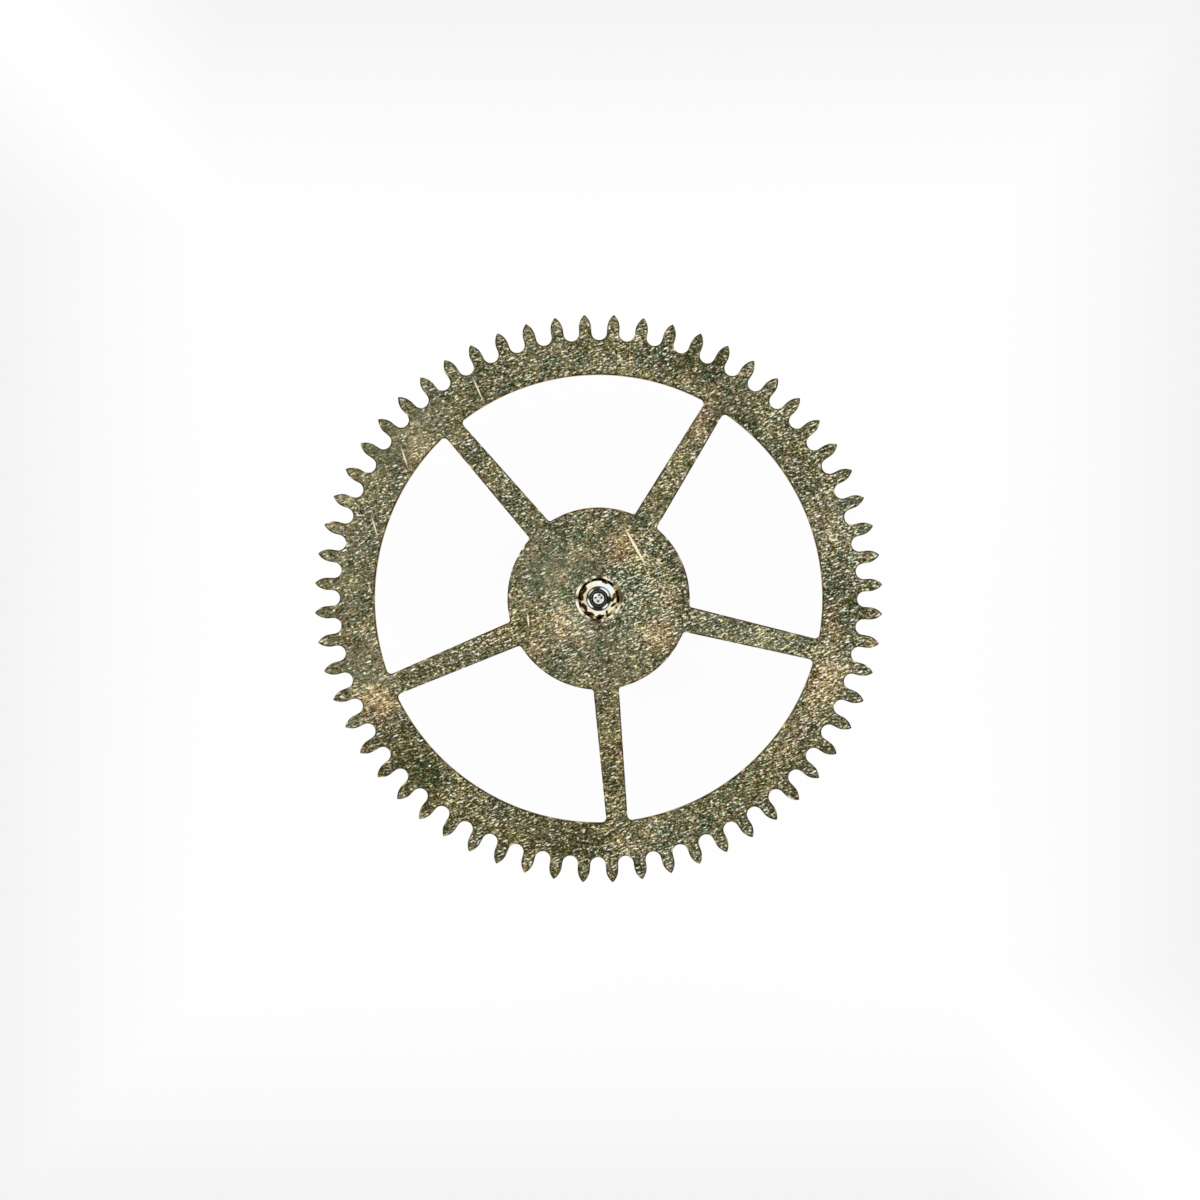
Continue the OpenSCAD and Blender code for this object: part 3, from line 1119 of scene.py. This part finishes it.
# A ring wave at scale 1 turns by this many radians to the unit.
WAVE_RADIANS = 20
cut_brass, tree, at = new_material("cut brass of the sink")
land_highlights_and_dark_stretches = around(tree, at, LAND_HIGHLIGHTS_AND_DARK_STRETCHES)
oil_specks = add(tree, "TexNoise", Vector=at, Scale=1 / OIL_SPECK, Detail=1.0).outputs["Fac"]
oil_share = add(
    tree, "MapRange", Value=oil_specks, From_Min=0.3, From_Max=0.42, To_Min=0.8, To_Max=0.0
).outputs["Result"]
cut_colour = add(
    tree, "Mix", {"data_type": "RGBA"}, _0=oil_share, _6=land_highlights_and_dark_stretches, _7=linear("#6b5a34")
).outputs[2]
cut_lines = add(
    tree,
    "TexWave",
    {"wave_type": "RINGS", "rings_direction": "Z"},
    Vector=at,
    Scale=2 * math.pi / (WAVE_RADIANS * CUT_LINE),
    Distortion=1.0,
).outputs["Fac"]
cut_relief = add(tree, "Bump", Height=cut_lines, Strength=0.3, Distance=CUT_LINE_DEPTH * MM)
cut_gloss = add(tree, "MapRange", Value=oil_share, To_Min=0.38, To_Max=0.55).outputs["Result"]
cut_surface = add(
    tree,
    "BsdfPrincipled",
    Base_Color=cut_colour,
    Metallic=1.0,
    Roughness=cut_gloss,
    Normal=cut_relief.outputs["Normal"],
)
add(tree, "OutputMaterial", Surface=cut_surface.outputs["BSDF"])
wheel.data.materials.append(cut_brass)
print("Sink done:", len(tree.nodes), "nodes")

# %% [markdown]
# The groove is dark with oil that has dried for decades and with painted shade of the narrow recess.
# It is nearly black where it lies thick, brown where it is thin, and brass shows through the gaps.
# One noise is the depth of the oil. It sets colour, gloss and lumps at once, so that all three agree
# as they do in a real stain.

# %% Dried oil and painted shade in the groove
OIL_PATCH = 0.07
OIL_LUMP = 0.004
# Dark colours for dried oil and painted shade in the groove.
OIL_AND_SHADE_STOPS = [(0.42, "#0c0905"), (0.52, "#2f2412"), (0.60, "#84734a"), (0.68, "#e6d9b2")]
groove, tree, at = new_material("brass under dried oil and painted shade")
oil_depth = add(tree, "TexNoise", Vector=at, Scale=1 / OIL_PATCH, Detail=2.0).outputs["Fac"]
groove_oil_and_shade = add(tree, "ValToRGB", stops=OIL_AND_SHADE_STOPS, Fac=oil_depth).outputs["Color"]
oil_relief = add(tree, "Bump", Height=oil_depth, Strength=0.5, Distance=OIL_LUMP * MM)
oil_gloss = add(
    tree, "MapRange", Value=oil_depth, From_Min=0.42, From_Max=0.68, To_Min=0.6, To_Max=0.36
).outputs["Result"]
groove_surface = add(
    tree,
    "BsdfPrincipled",
    Base_Color=groove_oil_and_shade,
    Metallic=1.0,
    Roughness=oil_gloss,
    Normal=oil_relief.outputs["Normal"],
)
add(tree, "OutputMaterial", Surface=groove_surface.outputs["BSDF"])
wheel.data.materials.append(groove)
print("Groove done:", len(tree.nodes), "nodes")

# %% [markdown]
# ## The plate's walls
#
# The windows and the teeth are cut through the plate, so their walls carry fine lines along its
# thickness, about two hundredths of a millimetre apart. Noise that is squeezed along the
# thickness draws them. No stone has grained the walls, and the brass is smoother and yellower
# there than on the face, under a thin brown film.

# %% Cut walls
WALL_LINE = 0.018
WALL_LINE_SQUEEZE = 0.06
WALL_LINE_DEPTH = 0.003
WALL_FILM = 0.5
WALL_FILM_STOPS = [(0.36, "#6f5c33"), (0.5, "#927d4b"), (0.64, "#b59f68")]
WALL_LINE_STOPS = [(0.36, "#6b5a34"), (0.5, "#a08b57"), (0.66, "#d2bf8a")]
walls_brass, tree, at = new_material("milled brass of the walls")
lines_at = add(tree, "Mapping", Vector=at, Scale=(1, 1, WALL_LINE_SQUEEZE)).outputs["Vector"]
lines = add(tree, "TexNoise", Vector=lines_at, Scale=1 / WALL_LINE, Detail=2.0).outputs["Fac"]
film = add(tree, "TexNoise", Vector=at, Scale=1 / WALL_FILM, Detail=3.0).outputs["Fac"]
film_colour = add(tree, "ValToRGB", stops=WALL_FILM_STOPS, Fac=film).outputs["Color"]
line_colour = add(tree, "ValToRGB", stops=WALL_LINE_STOPS, Fac=lines).outputs["Color"]
wall_colour = add(
    tree, "Mix", {"data_type": "RGBA"}, _0=0.4, _6=film_colour, _7=line_colour
).outputs[2]
wall_relief = add(tree, "Bump", Height=lines, Strength=0.5, Distance=WALL_LINE_DEPTH * MM)
wall_surface = add(
    tree,
    "BsdfPrincipled",
    Base_Color=wall_colour,
    Metallic=1.0,
    Roughness=0.34,
    Normal=wall_relief.outputs["Normal"],
)
add(tree, "OutputMaterial", Surface=wall_surface.outputs["BSDF"])
wheel.data.materials.append(walls_brass)
print("Wheel materials:", [m.name for m in wheel.data.materials])

# %% [markdown]
# ## Polished steel
#
# Leaves and lower arbor are hardened carbon steel, polished with fine paste. Iron reflects a
# little over half the light, a neutral grey near #c4c6c8. The polishing runs along the leaves
# and leaves hair-thin lines, drawn coarser than real ones so that they show at all. A breath of
# film makes the grey uneven.

# %% Polished leaves
POLISH_LINE = 0.012
POLISH_LINE_SQUEEZE = 0.08
POLISH_LINE_DEPTH = 0.001
STEEL_FILM = 0.35
STEEL_FILM_STOPS = [(0.35, "#908b82"), (0.5, "#b9babb"), (0.65, "#cccfd2")]
HAIR_STOPS = [(0.35, "#9c9d9f"), (0.6, "#cfd1d3")]
steel, tree, at = new_material("polished carbon steel")
film = add(tree, "TexNoise", Vector=at, Scale=1 / STEEL_FILM, Detail=4.0).outputs["Fac"]
film_colour = add(tree, "ValToRGB", stops=STEEL_FILM_STOPS, Fac=film).outputs["Color"]
hair_at = add(tree, "Mapping", Vector=at, Scale=(1, 1, POLISH_LINE_SQUEEZE)).outputs["Vector"]
hairs = add(tree, "TexNoise", Vector=hair_at, Scale=1 / POLISH_LINE, Detail=2.0).outputs["Fac"]
hair_colour = add(tree, "ValToRGB", stops=HAIR_STOPS, Fac=hairs).outputs["Color"]
steel_colour = add(
    tree, "Mix", {"data_type": "RGBA"}, _0=0.3, _6=film_colour, _7=hair_colour
).outputs[2]
hair_relief = add(tree, "Bump", Height=hairs, Strength=0.3, Distance=POLISH_LINE_DEPTH * MM)
steel_surface = add(
    tree,
    "BsdfPrincipled",
    Base_Color=steel_colour,
    Metallic=1.0,
    Roughness=0.2,
    Normal=hair_relief.outputs["Normal"],
)
add(tree, "OutputMaterial", Surface=steel_surface.outputs["BSDF"])
arbor.data.materials.append(steel)
print("Polished steel done:", len(tree.nodes), "nodes")

# %% [markdown]
# The rivet's crest was spread and burnished by the staking punch. Its colour goes by the heading as
# a painted sheen: nearly white, blue on one side and cream on the other. Specks of brown oil sit on
# it, each with its place from a mark and a ragged edge from noise. A speck stands up a little and is
# duller.

# %% Rivet: painted sheen and specks
# Colours by heading, a painted sheen on the burnished crest.
PAINTED_SHEEN = [
    # degrees from +X, colour
    (-180, "#d9cfb4"),
    (-160, "#e6d6c8"),
    (-130, "#f6e4da"),
    (-105, "#fbf3dc"),
    (-80, "#fdf8ea"),
    (-55, "#f3e8c4"),
    (-30, "#f8efd2"),
    (0, "#e9dcae"),
    (25, "#fbfbf6"),
    (50, "#f4f9ff"),
    (80, "#fbfdff"),
    (110, "#faf3da"),
    (140, "#f5ebc8"),
    (160, "#e2d6b0"),
]
SPECK_HUES = [
    (-150, "#5a3a18"),
    (-60, "#4f4a26"),
    (-15, "#26301c"),
    (12, "#b8803c"),
    (90, "#5d4d2c"),
]
RIVET_SPECKS = [
    # x, y, half length, half width, slant, strength
    (0.220, 0.034, 0.065, 0.036, 75, 1.3),
    (0.172, -0.016, 0.050, 0.040, 0, 1.4),
    (0.206, -0.085, 0.070, 0.028, 40, 1.1),
    (-0.200, -0.120, 0.090, 0.046, -62, 1.5),
    (-0.115, -0.216, 0.085, 0.040, -22, 1.4),
    (0.115, -0.190, 0.046, 0.026, 80, 1.0),
    (0.030, -0.240, 0.080, 0.030, 5, 1.2),
    (-0.208, 0.112, 0.085, 0.044, 60, 1.5),
    (-0.236, 0.010, 0.060, 0.040, 85, 1.4),
    (0.085, 0.226, 0.070, 0.026, -20, 1.1),
]
print("Specks of oil on the rivet:", len(RIVET_SPECKS))

# %% Rivet: burnished steel
SPECK_EDGE = 0.03
SPECK_RAGGED = 0.9
SPECK_LUMP = 0.002
# Oil dries darkest in a line just inside a speck's edge, so the shade ends in a hard step at 1.
SPECK_STOPS = [(0.85, "#ffffff"), (1.0, "#3a332b"), (1.0, "#a8a096")]

rivet, tree, at = new_material("burnished rivet")
sheen = around(tree, at, PAINTED_SHEEN)
rivet_specks = add_marks(tree, at, 0.0, RIVET_SPECKS, height_z=CREST_Z)
speck_edge = add(tree, "TexNoise", Vector=at, Scale=1 / SPECK_EDGE, Detail=1.0).outputs["Fac"]
speck_height = add(
    tree, "Math", {"operation": "MULTIPLY_ADD"}, _0=speck_edge, _1=SPECK_RAGGED, _2=rivet_specks
).outputs["Value"]
speck_share = add(
    tree, "MapRange", Value=speck_height, From_Min=0.62, From_Max=0.95
).outputs["Result"]
speck_hue = around(tree, at, SPECK_HUES)
speck_depth = add(tree, "ValToRGB", stops=SPECK_STOPS, Fac=speck_height).outputs["Color"]
speck_colour = add(
    tree,
    "Mix",
    {"data_type": "RGBA", "blend_type": "MULTIPLY"},
    _0=1.0,
    _6=speck_hue,
    _7=speck_depth,
).outputs[2]
rivet_colour = add(
    tree, "Mix", {"data_type": "RGBA"}, _0=speck_share, _6=sheen, _7=speck_colour
).outputs[2]
speck_relief = add(tree, "Bump", Height=speck_share, Strength=0.4, Distance=SPECK_LUMP * MM)
rivet_gloss = add(tree, "MapRange", Value=speck_share, To_Min=0.22, To_Max=0.45).outputs["Result"]
rivet_surface = add(
    tree,
    "BsdfPrincipled",
    Base_Color=rivet_colour,
    Metallic=1.0,
    Roughness=rivet_gloss,
    Normal=speck_relief.outputs["Normal"],
)
add(tree, "OutputMaterial", Surface=rivet_surface.outputs["BSDF"])
arbor.data.materials.append(rivet)
print("Rivet done:", len(tree.nodes), "nodes")

# %% [markdown]
# The pivots are burnished harder than anything else on the arbor, as they run in the bearings.
# Fine rings go round them, and the end that shows has a few tiny dark pits. The rings are noise
# that is drawn out sideways, coarser than real ones so that they show on a thing this thin.

# %% Burnished pivots
TURNED_LINE = 0.012
TURNED_SQUEEZE = 0.1
TURNED_DEPTH = 0.0005
RING_STOPS = [(0.35, "#cac8c3"), (0.5, "#dcdad5"), (0.65, "#ebe8e3")]
PITS = [
    # x, y, half length, half width, slant, strength
    (-0.044, 0.014, 0.030, 0.024, 20, 1.4),
    (0.010, 0.050, 0.028, 0.024, 0, 1.4),
    (0.040, 0.014, 0.028, 0.024, 60, 1.4),
    (-0.006, -0.036, 0.028, 0.026, 0, 1.4),
]

pivot_steel, tree, at = new_material("burnished pivot steel")
squeeze = (TURNED_SQUEEZE, TURNED_SQUEEZE, 1)
turned_at = add(tree, "Mapping", Vector=at, Scale=squeeze).outputs["Vector"]
rings = add(tree, "TexNoise", Vector=turned_at, Scale=1 / TURNED_LINE, Detail=2.0).outputs["Fac"]
ring_grey = add(tree, "ValToRGB", stops=RING_STOPS, Fac=rings).outputs["Color"]
pits = add_marks(tree, at, 0.0, PITS, height_z=UPPER_SHOULDER_Z + PIVOT_L)
pivot_colour = add(
    tree, "Mix", {"data_type": "RGBA"}, _0=pits, _6=ring_grey, _7=linear("#2a2622")
).outputs[2]
ring_relief = add(tree, "Bump", Height=rings, Strength=0.2, Distance=TURNED_DEPTH * MM)
pivot_gloss = add(tree, "MapRange", Value=rings, To_Min=0.1, To_Max=0.2).outputs["Result"]
pivot_surface = add(
    tree,
    "BsdfPrincipled",
    Base_Color=pivot_colour,
    Metallic=1.0,
    Roughness=pivot_gloss,
    Normal=ring_relief.outputs["Normal"],
)
add(tree, "OutputMaterial", Surface=pivot_surface.outputs["BSDF"])
arbor.data.materials.append(pivot_steel)
print("Pivots done:", len(PITS), "pits")

# %% [markdown]
# The upper arbor was never polished. It is coloured nearly black as painted shade, which makes the
# dark rings between the rivet and the pivot's end. Metallic is 0 here, so it mirrors little of the
# bright surroundings. It goes round in faint bands, left by the turning tool.

# %% Black steel
BLACK_BAND = 0.03
BLACK_BAND_DEPTH = 0.001
# Nearly black: painted shade for the dark rings round the upper arbor.
PAINTED_SHADE_BLACK_STOPS = [(0.35, "#030404"), (0.5, "#090a0b"), (0.7, "#181a1a")]
painted_shade_steel, tree, at = new_material("steel painted black as shade")
turned_at = add(tree, "Mapping", Vector=at, Scale=squeeze).outputs["Vector"]
rings = add(tree, "TexNoise", Vector=turned_at, Scale=1 / BLACK_BAND, Detail=3.0).outputs["Fac"]
painted_shade_black = add(tree, "ValToRGB", stops=PAINTED_SHADE_BLACK_STOPS, Fac=rings).outputs["Color"]
black_band_relief = add(tree, "Bump", Height=rings, Strength=0.4, Distance=BLACK_BAND_DEPTH * MM)
black_gloss = add(tree, "MapRange", Value=rings, To_Min=0.5, To_Max=0.7).outputs["Result"]
black_surface = add(
    tree,
    "BsdfPrincipled",
    Base_Color=painted_shade_black,
    Roughness=black_gloss,
    Specular_IOR_Level=0.05,
    Normal=black_band_relief.outputs["Normal"],
)
add(tree, "OutputMaterial", Surface=black_surface.outputs["BSDF"])
arbor.data.materials.append(painted_shade_steel)
print("Black steel done:", len(tree.nodes), "nodes")

# %% [markdown]
# The punch left the rivet's hollow nearly as bright as a mirror. Its colour goes by the heading and
# is a painted reflection: light surroundings on some sides, and the dark arbor and dried oil on
# others.
# The worn face of the punch has left shallow marks, about 0.015 mm across.

# %% Hollow of the rivet
# Colours by heading, a painted reflection in the mirror-bright hollow.
HOLLOW_PAINTED_REFLECTION = [
    # degrees from +X, colour
    (-180, "#8f8f89"),
    (-164, "#ffffff"),
    (-132, "#fbf6ea"),
    (-118, "#3b3a34"),
    (-72, "#262a28"),
    (-60, "#f4f1e6"),
    (-38, "#fffdf2"),
    (-26, "#2a3328"),
    (8, "#1a2420"),
    (22, "#dfe6ec"),
    (45, "#fafdff"),
    (70, "#e8ecef"),
    (86, "#3c3b36"),
    (116, "#55534b"),
    (130, "#d6d7d2"),
    (150, "#bdbcb2"),
    (165, "#4d4c46"),
]
PUNCH_MARK = 0.015
PUNCH_DEPTH = 0.0005
hollow, tree, at = new_material("punched hollow of the rivet")
hollow_painted_reflection = around(tree, at, HOLLOW_PAINTED_REFLECTION)
punch_marks = add(tree, "TexNoise", Vector=at, Scale=1 / PUNCH_MARK, Detail=2.0).outputs["Fac"]
punch_relief = add(tree, "Bump", Height=punch_marks, Strength=0.2, Distance=PUNCH_DEPTH * MM)
hollow_gloss = add(tree, "MapRange", Value=punch_marks, To_Min=0.06, To_Max=0.12).outputs["Result"]
hollow_surface = add(
    tree,
    "BsdfPrincipled",
    Base_Color=hollow_painted_reflection,
    Metallic=1.0,
    Roughness=hollow_gloss,
    Normal=punch_relief.outputs["Normal"],
)
add(tree, "OutputMaterial", Surface=hollow_surface.outputs["BSDF"])
arbor.data.materials.append(hollow)
print("Arbor materials:", [m.name for m in arbor.data.materials])

# %% [markdown]
# ## Floor, light and camera
#
# The picture to match is a plain studio view on white, from straight above. The floor is a white
# card just under the lower pivot. For the camera, most of the card is an even white glow. The
# rest still takes light, and so keeps a soft trace of the part's shadow. The card darkens by a
# few percent towards the picture's sides, apart from a lane that stays white from corner to
# corner.

# %% Floor
FLOOR_Z = -0.302
FLOOR_HALF = 400.0
WHITE_HALF = 4.2
GREY_FROM = 8.4
LANE_HALF = 2.3
LANE_END = 14.0

card = bpy.data.meshes.new("card")
corners = [(-1, -1), (1, -1), (1, 1), (-1, 1)]
card_points = [(x * FLOOR_HALF * MM, y * FLOOR_HALF * MM, FLOOR_Z * MM) for x, y in corners]
card.from_pydata(card_points, [], [(0, 1, 2, 3)])
floor = bpy.data.objects.new("floor_card", card)
bpy.context.scene.collection.objects.link(floor)
print(f"Card {2 * FLOOR_HALF:.0f} mm wide at {FLOOR_Z} mm")

# %% [markdown]
# More lamps would also turn the card white, but they would wash out the brass. Light Path tells
# which rays only look at the card, and those see a glow of strength 1. Light that falls on the
# card still meets paper, so the part's shadow stays.

# %% Rays that see the card
def seen_rays(tree):
    """1 for rays from the camera, a mirror or glass, and 0 for light that falls on things."""
    path = add(tree, "LightPath")
    seen = path.outputs["Is Camera Ray"]
    for kind in ("Is Glossy Ray", "Is Transmission Ray"):
        seen = add(
            tree, "Math", {"operation": "MAXIMUM"}, _0=seen, _1=path.outputs[kind]
        ).outputs["Value"]
    return seen


print("Kinds of rays that see the white glow: camera, glossy, transmission")

# %% The card's white
SEEN_SHARE = 0.92
FADE_BEND = 1.8
# The grey towards the sides is painted shade; the lane stays white.
CARD_PAINTED_SHADE_STOPS = [(0.0, "#ffffff"), (1.0, "#f3f3f3")]
white_card, tree, at = new_material("white studio card")
along = add(tree, "SeparateXYZ", Vector=at)
sides = [
    add(tree, "Math", {"operation": "ABSOLUTE"}, _0=along.outputs[axis]).outputs["Value"]
    for axis in ("X", "Y")
]
reach = add(tree, "Math", {"operation": "MAXIMUM"}, _0=sides[0], _1=sides[1]).outputs["Value"]
out_share = add(
    tree, "MapRange", Value=reach, From_Min=WHITE_HALF, From_Max=GREY_FROM
).outputs["Result"]
fade = add(tree, "Math", {"operation": "POWER"}, _0=out_share, _1=FADE_BEND).outputs["Value"]
both = add(
    tree, "Math", {"operation": "ADD"}, _0=along.outputs["X"], _1=along.outputs["Y"]
).outputs["Value"]
off_lane = add(tree, "Math", {"operation": "ABSOLUTE"}, _0=both).outputs["Value"]
off_share = add(
    tree, "MapRange", Value=off_lane, From_Min=0.0, From_Max=LANE_HALF * math.sqrt(2)
).outputs["Result"]
past_end = add(
    tree, "MapRange", Value=reach, From_Min=GREY_FROM, From_Max=LANE_END
).outputs["Result"]
lane = add(tree, "Math", {"operation": "MAXIMUM"}, _0=off_share, _1=past_end).outputs["Value"]
grey = add(tree, "Math", {"operation": "MINIMUM"}, _0=fade, _1=lane).outputs["Value"]
card_colour_with_painted_shade = add(tree, "ValToRGB", stops=CARD_PAINTED_SHADE_STOPS, Fac=grey).outputs["Color"]
share = add(tree, "Math", {"operation": "MULTIPLY"}, _0=seen_rays(tree), _1=SEEN_SHARE)
paper = add(tree, "BsdfDiffuse", Color=card_colour_with_painted_shade)
glow = add(tree, "Emission", Color=card_colour_with_painted_shade, Strength=1.0)
card_mix = add(
    tree,
    "MixShader",
    _0=share.outputs["Value"],
    _1=paper.outputs["BSDF"],
    _2=glow.outputs["Emission"],
)
add(tree, "OutputMaterial", Surface=card_mix.outputs["Shader"])
card.materials.append(white_card)
print(f"The card is {SEEN_SHARE:.0%} glow for the camera")

# %% [markdown]
# Small bright metal is best shown in a tent of white cloth, so that it mirrors white on every
# side. The world is that tent, plain white at strength 1, at which metal shows about its own
# colour. Two large soft lamps, one of them weaker, give the light a side without hard shadows.

# %% World
world = bpy.data.worlds.new("studio")
bpy.context.scene.world = world
world.use_nodes = True
tree = world.node_tree
tree.nodes.clear()
sky = add(tree, "Background", Color=linear("#ffffff"), Strength=1.0)
add(tree, "OutputWorld", Surface=sky.outputs["Background"])
print("World:", world.name)


# %% Lamps
def softbox(name, place, size, radiance):
    """A square lamp of this size in millimetres, aimed at the part."""
    light = bpy.data.lights.new(name, "AREA")
    light.size = size * MM
    light.energy = radiance * math.pi * (size * MM) ** 2
    lamp = bpy.data.objects.new(name, light)
    lamp.location = Vector(place) * MM
    lamp.rotation_euler = (-lamp.location).to_track_quat("-Z", "Y").to_euler()
    lamp.visible_camera = False
    bpy.context.scene.collection.objects.link(lamp)
    print(f"{name}: {size} mm square, {lamp.location.length / MM:.0f} mm away")


softbox("key_softbox", (-110, 110, 130), 90, 3.0)
softbox("fill_softbox", (140, -60, 90), 90, 1.0)

# %% [markdown]
# The camera looks straight down through a long lens, so that the walls hardly show, as in the
# picture to match. Its distance follows from the width in millimetres that the picture shows at
# the height of the plate's face, and it aims at the middle of the picture, a hair off the axis.

# %% Camera
PHOTO_PX = 1200
PX_MM = 0.013837
VIEW_MM = PHOTO_PX * PX_MM
LENS = 200.0
SENSOR = 36.0
AIM = (0.0194, -0.0194)
NEAR_CLIP = 0.001
FAR_CLIP = 10.0

lens = bpy.data.cameras.new("photo_camera")
lens.lens = LENS
lens.sensor_width = SENSOR
lens.clip_start = NEAR_CLIP
lens.clip_end = FAR_CLIP
camera = bpy.data.objects.new("photo_camera", lens)
distance = VIEW_MM * LENS / SENSOR
camera.location = (AIM[0] * MM, AIM[1] * MM, (FACE_Z + distance) * MM)
bpy.context.scene.collection.objects.link(camera)
bpy.context.scene.camera = camera
bpy.context.scene.view_settings.view_transform = "Standard"
print(f"Camera {distance:.1f} mm above the plate, {VIEW_MM:.2f} mm wide view")
